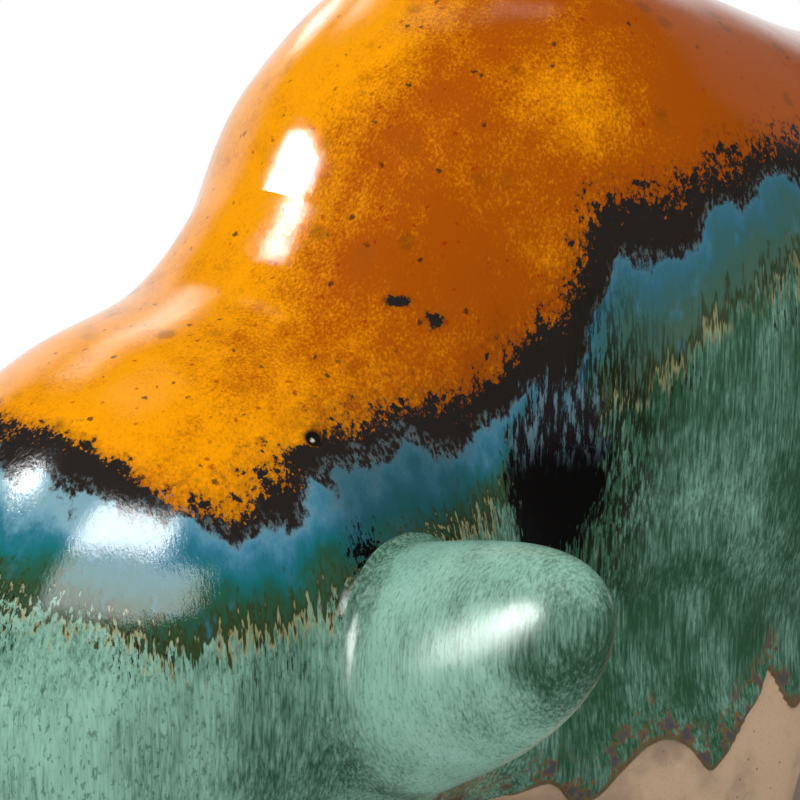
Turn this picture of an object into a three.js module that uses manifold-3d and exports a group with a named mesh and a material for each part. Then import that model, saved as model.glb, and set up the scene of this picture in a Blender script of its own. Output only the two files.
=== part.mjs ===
// A ceramic bull figurine, built from the forms that its maker closes and joins with slip:
// a hollow body and a hollow head that meet at the neck, two horns, four legs and a tail.
// Millimetres, +Z up, standing on Z = 0. The muzzle points to -X and the bull's left side faces -Y.

import * as THREE from "three";
import { mergeVertices } from "three/addons/utils/BufferGeometryUtils.js";
import { LoftGeometry } from "three/addons/geometries/LoftGeometry.js";
import Module from "manifold-3d";

const wasm = await Module();
wasm.setup();

// Clay wall of the hollow forms, and the slip-filled gap between two joined pieces
const WALL = 6;
const JOINT_GAP = 0.3;
const VENT_HOLE_DIAMETER = 9;

// Heights of the top line above the table, from the muzzle back to the rump
const MUZZLE_TOP_HEIGHT = 73;
const BROW_HEIGHT = 91;
const FOREHEAD_HEIGHT = 107.5;
const POLL_HEIGHT = 116.5;
const NAPE_HEIGHT = 122.5;
const NECK_TOP_HEIGHT = 135;
const WITHERS_HEIGHT = 154;
const HUMP_HEIGHT = 168;
const HUMP_BACK_HEIGHT = 162.5;
const LOIN_HEIGHT = 150.5;
const CROUP_HEIGHT = 141;
const RUMP_HEIGHT = 129;
const TAIL_HEAD_HEIGHT = 113;

// Heights of the under line
const MUZZLE_UNDER_HEIGHT = 41;
const CHIN_HEIGHT = 33;
const JAW_HEIGHT = 31;
const GULLET_HEIGHT = 32;
const THROAT_HEIGHT = 34;
const CHEST_HEIGHT = 36;
const BRISKET_HEIGHT = 37;
const FRONT_BELLY_HEIGHT = 41;
const BELLY_HEIGHT = 45;
const GROIN_HEIGHT = 49;
const FLANK_HEIGHT = 55;
const BUTTOCK_HEIGHT = 64;

// The poles of the two round ends lie this far below the middle of their height
const POLE_DROP = 3;

// Widths across the body
const MUZZLE_WIDTH = 40;
const BROW_WIDTH = 62;
const FOREHEAD_WIDTH = 77;
const CHEEK_WIDTH = 85;
const NAPE_WIDTH = 83;
const NECK_WIDTH = 76;
const SHOULDER_WIDTH = 87;
const CHEST_WIDTH = 100;
const BARREL_WIDTH = 103;
const LOIN_WIDTH = 99;
const HIP_WIDTH = 90;
const RUMP_WIDTH = 76;
const TAIL_HEAD_WIDTH = 54;

// Lengths along the top line from one section to the next, from the muzzle to the rear end
const MUZZLE_LENGTH = 7;
const BROW_LENGTH = 15;
const FOREHEAD_LENGTH = 18;
const POLL_LENGTH = 20;
const NAPE_LENGTH = 12;
const NECK_LENGTH = 15;
const SHOULDER_LENGTH = 28;
const HUMP_LENGTH = 29;
const BACK_LENGTH = 34;
const LOIN_LENGTH = 32;
const CROUP_LENGTH = 21;
const RUMP_LENGTH = 14;
const REAR_LENGTH = 6;

// How far the foot of each leaning section lies behind its top
const MUZZLE_LEAN = 9;
const BROW_LEAN = 17;
const FOREHEAD_LEAN = 25;
const CHEEK_LEAN = 33;
const NAPE_LEAN = 38;
const NECK_LEAN = 41;
const SHOULDER_LEAN = 38;
const HUMP_LEAN = 23;
const HUMP_BACK_LEAN = 12;
const CROUP_LEAN = -4;
const RUMP_LEAN = -3;
const TAIL_HEAD_LEAN = -1;

// Sections are superellipses: 2 is an ellipse and more is squarer
const BODY_SQUARENESS = 2.25;
const LEG_SQUARENESS = 2.3;

// A horn: angles in degrees at its root, then how far it turns up by its tip. Its level is a share
// of half the cheek section, and its set-back a share of the way to the nape section
const HORN_SPAN = 168;
const HORN_ROOT_WIDTH = 27.5;
const HORN_ROOT_HEIGHT = 36.5;
const HORN_BLUNTNESS = 2.2;
const HORN_ROOT_DEPTH = 13;
const HORN_ROOT_FLARE = 0.8;
const HORN_FLARE_LENGTH = 4;
const HORN_FORWARD_ANGLE = 10;
const HORN_RISE_ANGLE = 16.5;
const HORN_UPTURN_HEIGHT = 10;
const HORN_LEVEL = -0.035;
const HORN_SET_BACK = 0.08;

// Legs: the arch is how much longer a leg grows from the shank to the belly, the lean how far its
// top leans in, and the waist how much narrower it is again where it ends inside the body
const LEG_SPACING = 84;
const FRONT_LEG_BEHIND_HUMP = 14;
const FRONT_LEG_LENGTH = 48;
const FRONT_LEG_WIDTH = 35;
const REAR_LEG_LENGTH = 42;
const REAR_LEG_WIDTH = 32;
const FRONT_FEET_TRACK = 60;
const REAR_FEET_TRACK = 54;
const SOLE_ROUNDING_LENGTH = 2;
const LEG_ARCH_LENGTH = 12;
const LEG_SWELL_WIDTH = 1.2;
const LEG_TOP_LEAN = 6;
const LEG_TOP_WAIST = 4;
const LEG_TOP_INSIDE_LENGTH = 30;

// The tail: start and end are shares of the way round the rump, in the middle plane
const TAIL_START = 0.375;
const TAIL_END = 0.565;
const TAIL_ROOT_DIAMETER = 13;
const TAIL_DIAMETER = 8.5;
const TUFT_DIAMETER = 14;
const TAIL_FREE_LENGTH = 16;
const TAIL_FREE_TUCK_LENGTH = 1.5;
const TAIL_PROUD = 0.35;

// Facets along and round each form
const BODY_STEPS = 30;
const BODY_CAVITY_STEPS = 18;
const HEAD_STEPS = 22;
const HEAD_CAVITY_STEPS = 12;
const BODY_POINTS = 40;
const CAVITY_POINTS = 24;
const VENT_POINTS = 20;
const HORN_STEPS = 20;
const HORN_POINTS = 28;
const LEG_POINTS = 32;
const TAIL_STEPS = 26;
const TAIL_POINTS = 14;

const GLAZE_ROUGHNESS = 0.2;
const CLAY_ROUGHNESS = 0.8;
const GLAZE_ORANGE = 0xd8800f;
const GLAZE_GREEN = 0x86b7a0;
const BARE_CLAY = 0xbb9674;

// One section of the body: its highest and lowest points in the middle plane, and its width
function bodySection(topX, topZ, lean, bottomZ, width) {
  return { topX, topZ, bottomX: topX + lean, bottomZ, half: width / 2 };
}

// Places of the sections' tops along the body; the front of the hump is the fixed one
const HUMP_X = -19;
const WITHERS_X = HUMP_X - SHOULDER_LENGTH;
const NECK_X = WITHERS_X - NECK_LENGTH;
const NAPE_X = NECK_X - NAPE_LENGTH;
const POLL_X = NAPE_X - POLL_LENGTH;
const FOREHEAD_X = POLL_X - FOREHEAD_LENGTH;
const BROW_X = FOREHEAD_X - BROW_LENGTH;
const MUZZLE_X = BROW_X - MUZZLE_LENGTH;
const HUMP_BACK_X = HUMP_X + HUMP_LENGTH;
const LOIN_X = HUMP_BACK_X + BACK_LENGTH;
const CROUP_X = LOIN_X + LOIN_LENGTH;
const RUMP_X = CROUP_X + CROUP_LENGTH;
const TAIL_HEAD_X = RUMP_X + RUMP_LENGTH;
const REAR_X = TAIL_HEAD_X + REAR_LENGTH;

const MUZZLE_TIP_HEIGHT = (BROW_HEIGHT + CHIN_HEIGHT) / 2 - POLE_DROP;
const REAR_TIP_HEIGHT = (RUMP_HEIGHT + FLANK_HEIGHT) / 2 - POLE_DROP;

const sections = [
  bodySection(MUZZLE_X, MUZZLE_TIP_HEIGHT, 0, MUZZLE_TIP_HEIGHT, 0),
  bodySection(MUZZLE_X, MUZZLE_TOP_HEIGHT, MUZZLE_LEAN, MUZZLE_UNDER_HEIGHT, MUZZLE_WIDTH),
  bodySection(BROW_X, BROW_HEIGHT, BROW_LEAN, CHIN_HEIGHT, BROW_WIDTH),
  bodySection(FOREHEAD_X, FOREHEAD_HEIGHT, FOREHEAD_LEAN, JAW_HEIGHT, FOREHEAD_WIDTH),
  bodySection(POLL_X, POLL_HEIGHT, CHEEK_LEAN, GULLET_HEIGHT, CHEEK_WIDTH),
  bodySection(NAPE_X, NAPE_HEIGHT, NAPE_LEAN, THROAT_HEIGHT, NAPE_WIDTH),
  bodySection(NECK_X, NECK_TOP_HEIGHT, NECK_LEAN, CHEST_HEIGHT, NECK_WIDTH),
  bodySection(WITHERS_X, WITHERS_HEIGHT, SHOULDER_LEAN, CHEST_HEIGHT, SHOULDER_WIDTH),
  bodySection(HUMP_X, HUMP_HEIGHT, HUMP_LEAN, BRISKET_HEIGHT, CHEST_WIDTH),
  bodySection(HUMP_BACK_X, HUMP_BACK_HEIGHT, HUMP_BACK_LEAN, FRONT_BELLY_HEIGHT, BARREL_WIDTH),
  bodySection(LOIN_X, LOIN_HEIGHT, 0, BELLY_HEIGHT, LOIN_WIDTH),
  bodySection(CROUP_X, CROUP_HEIGHT, CROUP_LEAN, GROIN_HEIGHT, HIP_WIDTH),
  bodySection(RUMP_X, RUMP_HEIGHT, RUMP_LEAN, FLANK_HEIGHT, RUMP_WIDTH),
  bodySection(TAIL_HEAD_X, TAIL_HEAD_HEIGHT, TAIL_HEAD_LEAN, BUTTOCK_HEIGHT, TAIL_HEAD_WIDTH),
  bodySection(REAR_X, REAR_TIP_HEIGHT, 0, REAR_TIP_HEIGHT, 0),
];
const CHEEK_STATION = 4;
const NECK_STATION = 6;
const LAST_STATION = sections.length - 1;

// Lofts end this short of a pole, on a small flat; a cavity runs on past the neck rim by the lap
const POLE_MARGIN = 0.03;
const RIM_LAP = 0.3;

// A section beyond a round end is its neighbour seen in a mirror, upside down
function mirrored(section) {
  return {
    topX: section.bottomX,
    topZ: section.bottomZ,
    bottomX: section.topX,
    bottomZ: section.topZ,
    half: -section.half,
  };
}

// Smooth curve through the sections' sizes; station is a number from 0 to LAST_STATION
function sectionAt(station) {
  const index = Math.min(Math.floor(station), LAST_STATION - 1);
  const f = station - index;
  const before = index > 0 ? sections[index - 1] : mirrored(sections[1]);
  const after = index + 2 <= LAST_STATION ? sections[index + 2] : mirrored(sections[LAST_STATION - 1]);
  const [a, b, c, d] = [before, sections[index], sections[index + 1], after];
  const result = {};
  for (const size of Object.keys(b)) {
    const slope = (c[size] - a[size]) * f;
    const bend = (2 * a[size] - 5 * b[size] + 4 * c[size] - d[size]) * f * f;
    const twist = (3 * b[size] - a[size] - 3 * c[size] + d[size]) * f * f * f;
    result[size] = (2 * b[size] + slope + bend + twist) / 2;
  }
  return result;
}

// Cosine and sine drawn out to a superellipse
function superellipse(angle, squareness) {
  const power = 2 / squareness;
  const c = Math.cos(angle);
  const s = Math.sin(angle);
  return [Math.sign(c) * Math.abs(c) ** power, Math.sign(s) * Math.abs(s) ** power];
}

function bodyPoint(station, angle) {
  const { topX, topZ, bottomX, bottomZ, half } = sectionAt(station);
  const [across, up] = superellipse(angle, BODY_SQUARENESS);
  return new THREE.Vector3(
    (topX + bottomX) / 2 + ((topX - bottomX) / 2) * up,
    half * across,
    (topZ + bottomZ) / 2 + ((topZ - bottomZ) / 2) * up,
  );
}

// The same surface moved outwards by a distance, or inwards by a negative one
function offsetBodyPoint(station, angle, distance) {
  const step = 0.01;
  const from = Math.max(station - step, POLE_MARGIN);
  const to = Math.min(station + step, LAST_STATION - POLE_MARGIN);
  const along = bodyPoint(to, angle).sub(bodyPoint(from, angle));
  const around = bodyPoint(station, angle + step).sub(bodyPoint(station, angle - step));
  return bodyPoint(station, angle).addScaledVector(around.cross(along).normalize(), distance);
}

// Angles of a ring, counted so that rings face outwards along the loft
function ringAngles(count) {
  return Array.from({ length: count }, (_, i) => (2 * Math.PI * i) / count);
}

// Steps from one value to another, both included
function steps(from, to, count) {
  return Array.from({ length: count + 1 }, (_, i) => from + ((to - from) * i) / count);
}

function bodyRings(stations, points, distance = 0) {
  return stations.map((s) => ringAngles(points).map((a) => offsetBodyPoint(s, a, distance)));
}

function loft(rings) {
  return new LoftGeometry(rings, { capStart: true, capEnd: true });
}

// A closed surface as a solid; only its corners matter
function solid(surface) {
  const geometry = new THREE.BufferGeometry().setIndex(surface.index);
  geometry.setAttribute("position", surface.attributes.position);
  const merged = mergeVertices(geometry, 1e-3);
  return new wasm.Manifold(
    new wasm.Mesh({
      numProp: 3,
      vertProperties: merged.attributes.position.array,
      triVerts: new Uint32Array(merged.index.array),
    }),
  );
}

function piece(name, shape, color, roughness) {
  const { vertProperties, triVerts, numProp } = shape.getMesh();
  const geometry = new THREE.BufferGeometry();
  const buffer = new THREE.InterleavedBuffer(vertProperties, numProp);
  const corners = new THREE.InterleavedBufferAttribute(buffer, 3, 0);
  const positions = new Float32Array(corners.count * 3);
  for (let i = 0; i < corners.count; i++)
    positions.set([corners.getX(i), corners.getY(i), corners.getZ(i)], i * 3);
  geometry.setAttribute("position", new THREE.BufferAttribute(positions, 3));
  geometry.setIndex(Array.from(triVerts));
  geometry.computeVertexNormals();
  const mesh = new THREE.Mesh(
    geometry,
    new THREE.MeshStandardMaterial({ color, roughness, metalness: 0 }),
  );
  mesh.name = name;
  return mesh;
}

// The neck joint is flat: both rims lie in the plane of one leaning section
function moveToRim(ring, side) {
  const { topX, topZ, bottomX, bottomZ } = sectionAt(NECK_STATION);
  const out = new THREE.Vector3(topZ - bottomZ, 0, bottomX - topX).normalize();
  return ring.map((p) => p.clone().addScaledVector(out, (side * JOINT_GAP) / 2));
}

function bodyShell() {
  const end = LAST_STATION - POLE_MARGIN;
  const outer = bodyRings(steps(NECK_STATION, end, BODY_STEPS), BODY_POINTS);
  outer[0] = moveToRim(outer[0], 1);
  const inside = steps(NECK_STATION - RIM_LAP, end, BODY_CAVITY_STEPS);
  const cavity = bodyRings(inside, CAVITY_POINTS, -WALL);
  const ventRadius = VENT_HOLE_DIAMETER / 2;
  const vent = new THREE.CylinderGeometry(ventRadius, ventRadius, WALL * 4, VENT_POINTS);
  vent.rotateX(Math.PI / 2).translate(LOIN_X, 0, BELLY_HEIGHT);
  return solid(loft(outer)).subtract(solid(loft(cavity))).subtract(solid(vent));
}

function headShell() {
  const outer = bodyRings(steps(POLE_MARGIN, NECK_STATION, HEAD_STEPS), BODY_POINTS);
  outer[outer.length - 1] = moveToRim(outer[outer.length - 1], -1);
  const inside = steps(POLE_MARGIN, NECK_STATION + RIM_LAP, HEAD_CAVITY_STEPS);
  const cavity = bodyRings(inside, CAVITY_POINTS, -WALL);
  return solid(loft(outer)).subtract(solid(loft(cavity)));
}

// The head and body together, grown by the joint gap: it cuts the seat of every joined piece
function seatCutter() {
  const all = steps(POLE_MARGIN, LAST_STATION - POLE_MARGIN, HEAD_STEPS + BODY_STEPS);
  return solid(loft(bodyRings(all, BODY_POINTS, JOINT_GAP)));
}

// Rings of a tapered roll of clay: ovals square to a path, in frames that share one side axis;
// halfSizesAt gives half the width and half the height of each
function rollRings(path, halfSizesAt, side, points) {
  const last = path.length - 1;
  return path.map((centre, i) => {
    const tangent = path[Math.min(i + 1, last)].clone().sub(path[Math.max(i - 1, 0)]).normalize();
    const up = tangent.clone().cross(side).normalize();
    const across = up.clone().cross(tangent);
    const [halfWidth, halfHeight] = halfSizesAt(i);
    return ringAngles(points).map((a) =>
      centre.clone()
        .addScaledVector(across, halfWidth * Math.cos(a))
        .addScaledVector(up, halfHeight * Math.sin(a)),
    );
  });
}

// A rounded end stops this close to closing, so that its last ring keeps a size
const NEARLY_CLOSED = 0.9999;

// A horn leaves the cheek sideways and forward, bends up and narrows to a blunt tip
function horn(side) {
  const cheek = bodyPoint(CHEEK_STATION + HORN_SET_BACK, 0);
  const { topX, topZ, bottomX, bottomZ } = sectionAt(CHEEK_STATION + HORN_SET_BACK);
  cheek.x += ((topX - bottomX) / 2) * HORN_LEVEL;
  cheek.z += ((topZ - bottomZ) / 2) * HORN_LEVEL;
  const forward = THREE.MathUtils.degToRad(HORN_FORWARD_ANGLE);
  const rise = THREE.MathUtils.degToRad(HORN_RISE_ANGLE);
  const outward = Math.cos(forward) * Math.cos(rise);
  const whole = HORN_ROOT_DEPTH + (HORN_SPAN / 2 - cheek.y) / outward;
  const aim = new THREE.Vector3(-Math.sin(forward) * Math.cos(rise), side * outward, Math.sin(rise));
  cheek.y *= side;
  const shares = steps(0, Math.PI / 2, HORN_STEPS).map((turn) => NEARLY_CLOSED * Math.sin(turn));
  const path = shares.map((share) => {
    const centre = cheek.clone().addScaledVector(aim, whole * share - HORN_ROOT_DEPTH);
    centre.z += HORN_UPTURN_HEIGHT * share ** 2;
    return centre;
  });
  const halfSizesAt = (i) => {
    const narrowing = (1 - shares[i] ** 2) ** (1 / HORN_BLUNTNESS);
    const beyond = Math.max(whole * shares[i] - HORN_ROOT_DEPTH, 0);
    const flare = HORN_ROOT_FLARE * Math.exp(-beyond / HORN_FLARE_LENGTH);
    return [HORN_ROOT_WIDTH, HORN_ROOT_HEIGHT].map((root) => (root / 2 + flare) * narrowing);
  };
  const sideways = new THREE.Vector3(1, 0, 0);
  return solid(loft(rollRings(path, halfSizesAt, sideways, HORN_POINTS)));
}

// A leg is a stout pillar with a flat sole; its top arches into the belly and leans in under it.
// Levels give the height and the shares of the sole's rounding, the arch, the lean and the waist
function leg(x, y, length, width, bellyHeight) {
  const inward = -Math.sign(y);
  const levels = [
    { z: 0, rounding: 1, arch: 0, lean: 0, waist: 0 },
    { z: SOLE_ROUNDING_LENGTH * 0.3, rounding: 0.3, arch: 0, lean: 0, waist: 0 },
    { z: SOLE_ROUNDING_LENGTH, rounding: 0, arch: 0, lean: 0, waist: 0 },
    { z: bellyHeight * 0.45, rounding: 0, arch: 0, lean: 0, waist: 0 },
    { z: bellyHeight * 0.65, rounding: 0, arch: 0.12, lean: 0, waist: 0 },
    { z: bellyHeight * 0.82, rounding: 0, arch: 0.38, lean: 0, waist: 0 },
    { z: bellyHeight, rounding: 0, arch: 0.85, lean: 0.1, waist: 0 },
    { z: bellyHeight + LEG_TOP_INSIDE_LENGTH / 2, rounding: 0, arch: 1, lean: 0.5, waist: 0.5 },
    { z: bellyHeight + LEG_TOP_INSIDE_LENGTH, rounding: 0, arch: 0.8, lean: 1, waist: 1 },
  ];
  const rings = levels.map(({ z, rounding, arch, lean, waist }) =>
    ringAngles(LEG_POINTS).map((a) => {
      const [c, s] = superellipse(a, LEG_SQUARENESS);
      const trim = SOLE_ROUNDING_LENGTH * rounding;
      const long = length / 2 - trim + LEG_ARCH_LENGTH * arch;
      const wide = width / 2 - trim + LEG_SWELL_WIDTH * arch - LEG_TOP_WAIST * waist;
      return new THREE.Vector3(x + long * c, y + inward * LEG_TOP_LEAN * lean + wide * s, z);
    }),
  );
  return solid(loft(rings));
}

// Outline of the rump in the middle plane, from the croup round the rear to the flank
function rumpOutline(k, proud) {
  const turn = 2 * (LAST_STATION - POLE_MARGIN) - NECK_STATION;
  const station = NECK_STATION + k * (turn - NECK_STATION);
  return station <= LAST_STATION - POLE_MARGIN
    ? offsetBodyPoint(station, Math.PI / 2, proud)
    : offsetBodyPoint(2 * (LAST_STATION - POLE_MARGIN) - station, -Math.PI / 2, proud);
}

// Shares of the tail's length: the root rounds off, the shank thins, and the tuft swells and closes
const TAIL_ROOT_ROUNDED = 0.12;
const TAIL_THINNED = 0.5;
const TUFT_START = 0.6;
const TUFT_FULL = 0.84;

// Radius of a rounded end as a share of the full one; beyond is how far past its start, 0 to 1
function rounded(beyond) {
  return Math.sqrt(1 - (NEARLY_CLOSED * Math.max(beyond, 0)) ** 2);
}

// The tail is a roll pressed on along the rump; its end hangs free in a tuft
function tail() {
  const proud = (TAIL_ROOT_DIAMETER / 2) * TAIL_PROUD;
  const route = steps(TAIL_START, TAIL_END, 7).map((k) => rumpOutline(k, proud));
  const end = route[route.length - 1];
  const hang = new THREE.Vector3(-TAIL_FREE_TUCK_LENGTH, 0, -TAIL_FREE_LENGTH);
  for (const share of [0.5, 1]) route.push(end.clone().addScaledVector(hang, share));
  const path = new THREE.CatmullRomCurve3(route, false, "centripetal").getSpacedPoints(TAIL_STEPS);
  const { lerp, smoothstep } = THREE.MathUtils;
  const halfSizesAt = (i) => {
    const k = i / TAIL_STEPS;
    const shank = lerp(TAIL_ROOT_DIAMETER, TAIL_DIAMETER, Math.min(k / TAIL_THINNED, 1)) / 2;
    const tuft = (smoothstep(k, TUFT_START, TUFT_FULL) * (TUFT_DIAMETER - TAIL_DIAMETER)) / 2;
    const root = rounded(1 - k / TAIL_ROOT_ROUNDED);
    const radius = (shank + tuft) * root * rounded((k - TUFT_FULL) / (1 - TUFT_FULL));
    return [radius, radius];
  };
  return solid(loft(rollRings(path, halfSizesAt, new THREE.Vector3(0, 1, 0), TAIL_POINTS)));
}

const cutter = seatCutter();
const FRONT_LEG_X = HUMP_X + FRONT_LEG_BEHIND_HUMP;
const bull = new THREE.Group();
bull.add(piece("body_shell", bodyShell(), GLAZE_ORANGE, GLAZE_ROUGHNESS));
bull.add(piece("head_shell", headShell(), GLAZE_GREEN, GLAZE_ROUGHNESS));
for (const [name, side] of [["left", -1], ["right", 1]]) {
  bull.add(piece(`${name}_horn`, horn(side).subtract(cutter), GLAZE_GREEN, GLAZE_ROUGHNESS));
  const front = leg(FRONT_LEG_X, (side * FRONT_FEET_TRACK) / 2,
    FRONT_LEG_LENGTH, FRONT_LEG_WIDTH, FRONT_BELLY_HEIGHT);
  bull.add(piece(`${name}_front_leg`, front.subtract(cutter), BARE_CLAY, CLAY_ROUGHNESS));
  const rear = leg(FRONT_LEG_X + LEG_SPACING, (side * REAR_FEET_TRACK) / 2,
    REAR_LEG_LENGTH, REAR_LEG_WIDTH, BELLY_HEIGHT);
  bull.add(piece(`${name}_rear_leg`, rear.subtract(cutter), BARE_CLAY, CLAY_ROUGHNESS));
}
bull.add(piece("tail", tail().subtract(cutter), GLAZE_ORANGE, GLAZE_ROUGHNESS));

// The origin is on the table, under the middle of the whole figure
const extent = new THREE.Box3().setFromObject(bull);
bull.position.x = -(extent.min.x + extent.max.x) / 2;

export default bull;
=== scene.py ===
import math
from functools import partial

import bpy
import numpy as np
from bpy.props import FloatProperty, FloatVectorProperty, PointerProperty
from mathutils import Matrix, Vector


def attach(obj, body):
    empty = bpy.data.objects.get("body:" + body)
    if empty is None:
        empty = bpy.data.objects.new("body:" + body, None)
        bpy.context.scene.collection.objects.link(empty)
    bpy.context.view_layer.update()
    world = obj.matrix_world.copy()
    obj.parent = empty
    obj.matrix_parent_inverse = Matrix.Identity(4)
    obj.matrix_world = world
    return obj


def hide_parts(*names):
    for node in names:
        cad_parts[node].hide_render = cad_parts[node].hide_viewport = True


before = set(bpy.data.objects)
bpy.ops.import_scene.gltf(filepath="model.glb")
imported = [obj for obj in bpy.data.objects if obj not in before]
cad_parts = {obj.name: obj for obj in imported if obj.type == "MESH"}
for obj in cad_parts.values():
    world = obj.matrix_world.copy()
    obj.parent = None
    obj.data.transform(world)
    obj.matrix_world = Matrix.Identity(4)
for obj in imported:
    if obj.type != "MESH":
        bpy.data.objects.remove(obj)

bl_info = {
    "name": "Ceramic bull figurine",
    "version": (1, 0, 0),
    "blender": (4, 5, 0),
    "location": "3D View > Sidebar > Bull",
    "description": "Clothes the packed ceramic bull in poured glaze and bare clay, and sets its stage",
    "category": "Add Mesh",
}

# Shapes are worked out in millimetres and put into the meshes in metres
MM = 0.001

# The figure stands with its middle over the origin: the form's own x runs from the hump
FIGURE_SHIFT = 5.8407

# Leaning sections of the body from muzzle to rump: x and z of the top, how far the foot lies
# behind it, z of the foot, and width. They repeat the sizes of the CAD part.
SECTIONS = (
    (-134, 59, 0, 59, 0),
    (-134, 73, 9, 41, 40),
    (-127, 91, 17, 33, 62),
    (-112, 107.5, 25, 31, 77),
    (-94, 116.5, 33, 32, 85),
    (-74, 122.5, 38, 34, 83),
    (-62, 135, 41, 36, 76),
    (-47, 154, 38, 36, 87),
    (-19, 168, 23, 37, 100),
    (10, 162.5, 12, 41, 103),
    (44, 150.5, 0, 45, 99),
    (76, 141, -4, 49, 90),
    (97, 129, -3, 55, 76),
    (111, 113, -1, 64, 54),
    (117, 89, 0, 89, 0),
)
NECK_STATION = 6
LAST_STATION = len(SECTIONS) - 1
POLE_MARGIN = 0.03
BODY_SQUARENESS = 2.25

HORN_SPAN = 168
HORN_ROOT_HALVES = (13.75, 18.25)
HORN_BLUNTNESS = 2.2
HORN_ROOT_DEPTH = 13
HORN_ROOT_FLARE = 0.8
HORN_FLARE_RUN = 4
HORN_FORWARD = math.radians(10)
HORN_RISE = math.radians(16.5)
HORN_UPTURN = 10
HORN_LEVEL = -0.035
HORN_STATION = 4.08

LEG_SQUARENESS = 2.3
SOLE_ROUNDING = 2
LEG_ARCH = 12
LEG_SWELL = 1.2
LEG_TOP_LEAN = 6
LEG_TOP_WAIST = 4
LEG_TOP_INSIDE = 30
# x, distance of the foot from the middle plane, length, width and belly height of each leg
FRONT_LEG = (-5, 30, 48, 35, 41)
REAR_LEG = (79, 27, 42, 32, 45)

TAIL_RADII = (6.5, 4.25, 7)
TAIL_START, TAIL_END = 0.375, 0.565
TAIL_FREE_LENGTH = 16
TAIL_FREE_TUCK = 1.5
TAIL_PROUD = 0.35

# Points of a ring crowd towards this angle, by this much of their spacing
CROWDED_SIDE = math.radians(150)
CROWDING = 0.35

# How steeply a piece dives below the skin where its neighbour is nearer, per millimetre, and how
# steeply the head and body dive past the neck, per step of the stations
DIVE = 0.15
NECK_DIVE = 0.03
NECK_STEP = 0.05
NECK_OVERLAP = 0.2
# Where pieces join, how deep one sinks in millimetres, how high it rises as a share of the widest
# fillet, and how often the place between the two is halved
DEEPEST = -2
FILLET_RISE = 0.4
HALVINGS = 14
# The rough distance from the body is eased by this for the slope of its skin
SLOPE_EASE = 0.95


def section_rows():
    """The sections as rows of top x, top z, foot x, foot z and half width, shifted to the origin.
    Beyond a round end follows its neighbour turned upside down, so that the end closes smoothly."""
    x, z, lean, foot, width = np.array(SECTIONS, float).T
    x = x + FIGURE_SHIFT
    rows = np.stack([x, z, x + lean, foot, width / 2], -1)
    before, after = (rows[k][[2, 3, 0, 1, 4]] * (1, 1, 1, 1, -1) for k in (1, -2))
    return np.vstack([before, rows, after])


ROWS = section_rows()


def section_at(station):
    """Uniform Catmull-Rom curve through the rows."""
    station = np.asarray(station, float)
    index = np.clip(np.floor(station).astype(int), 0, LAST_STATION - 1)
    f = (station - index)[..., None]
    a, b, c, d = (ROWS[index + k] for k in range(4))
    return (2 * b + (c - a) * f + (2 * a - 5 * b + 4 * c - d) * f**2 + (3 * b - a - 3 * c + d) * f**3) / 2


def superellipse(angle, squareness):
    """Ways across and up of a superellipse: the angle's cosine and sine, each to the power of two
    over the squareness, with its sign kept."""
    parts = (np.cos(angle), np.sin(angle))
    return [np.sign(part) * np.abs(part) ** (2 / squareness) for part in parts]


def beyond(u, v, half_u, half_v, squareness):
    """How far a point lies beyond a superellipse, on its ray from the middle."""
    reach = np.abs(u / half_u) ** squareness + np.abs(v / half_v) ** squareness
    return np.hypot(u, v) * (1 - 1 / np.maximum(reach ** (1 / squareness), 1e-3))


def body_points(station, angle):
    """Point of the body at a station and an angle: a superellipse hung between the section's top
    and foot, x and z along the leaning line and y across it."""
    top_x, top_z, foot_x, foot_z, half = np.moveaxis(section_at(station), -1, 0)
    across, up = superellipse(angle, BODY_SQUARENESS)
    x = (top_x + foot_x) / 2 + (top_x - foot_x) / 2 * up
    z = (top_z + foot_z) / 2 + (top_z - foot_z) / 2 * up
    return np.stack([x, half * across, z], -1)


def body_ways(station, angle):
    """Outward unit normals of the body: the cross product of its slopes round and along."""
    step = 0.004
    low = np.clip(station - step, POLE_MARGIN, LAST_STATION - POLE_MARGIN)
    high = np.clip(station + step, POLE_MARGIN, LAST_STATION - POLE_MARGIN)
    along = body_points(high, angle) - body_points(low, angle)
    around = body_points(station, angle + step) - body_points(station, angle - step)
    return unit(np.cross(around, along))


def turns(count):
    """Angles evenly round a ring."""
    return np.linspace(0, 2 * math.pi, count, endpoint=False)


def unit(v):
    return v / np.maximum(np.linalg.norm(v, axis=-1, keepdims=True), 1e-12)


def smoothstep(x, low, high):
    k = np.clip((x - low) / (high - low), 0, 1)
    return k * k * (3 - 2 * k)


def bell(x, middle, width):
    return np.exp(-(((x - middle) / width) ** 2))


# Sections at close stations, in which a point's station is looked up by halving
STATION_TABLE = np.linspace(0.2, LAST_STATION - 0.2, 1400)
SECTION_TABLE = section_at(STATION_TABLE)
TABLE_HALVINGS = 11


def station_of(q):
    """Station whose leaning section holds each point: halving on the side of the section's line
    that the point lies on."""

    def side(row):
        top_x, top_z, foot_x, foot_z, _half = SECTION_TABLE[row].T
        return (top_x - foot_x) * (q[:, 2] - foot_z) - (top_z - foot_z) * (q[:, 0] - foot_x)

    low = np.zeros(len(q), int)
    high = np.full(len(q), len(STATION_TABLE) - 1)
    for _ in range(TABLE_HALVINGS):
        middle = (low + high) // 2
        ahead = side(middle) < 0
        high = np.where(ahead, high, middle)
        low = np.where(ahead, middle, low)
    gap = side(low) - side(high)
    share = np.clip(side(low) / np.where(np.abs(gap) < 1e-9, 1, gap), 0, 1)
    return STATION_TABLE[low] + share * (STATION_TABLE[high] - STATION_TABLE[low])


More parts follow.
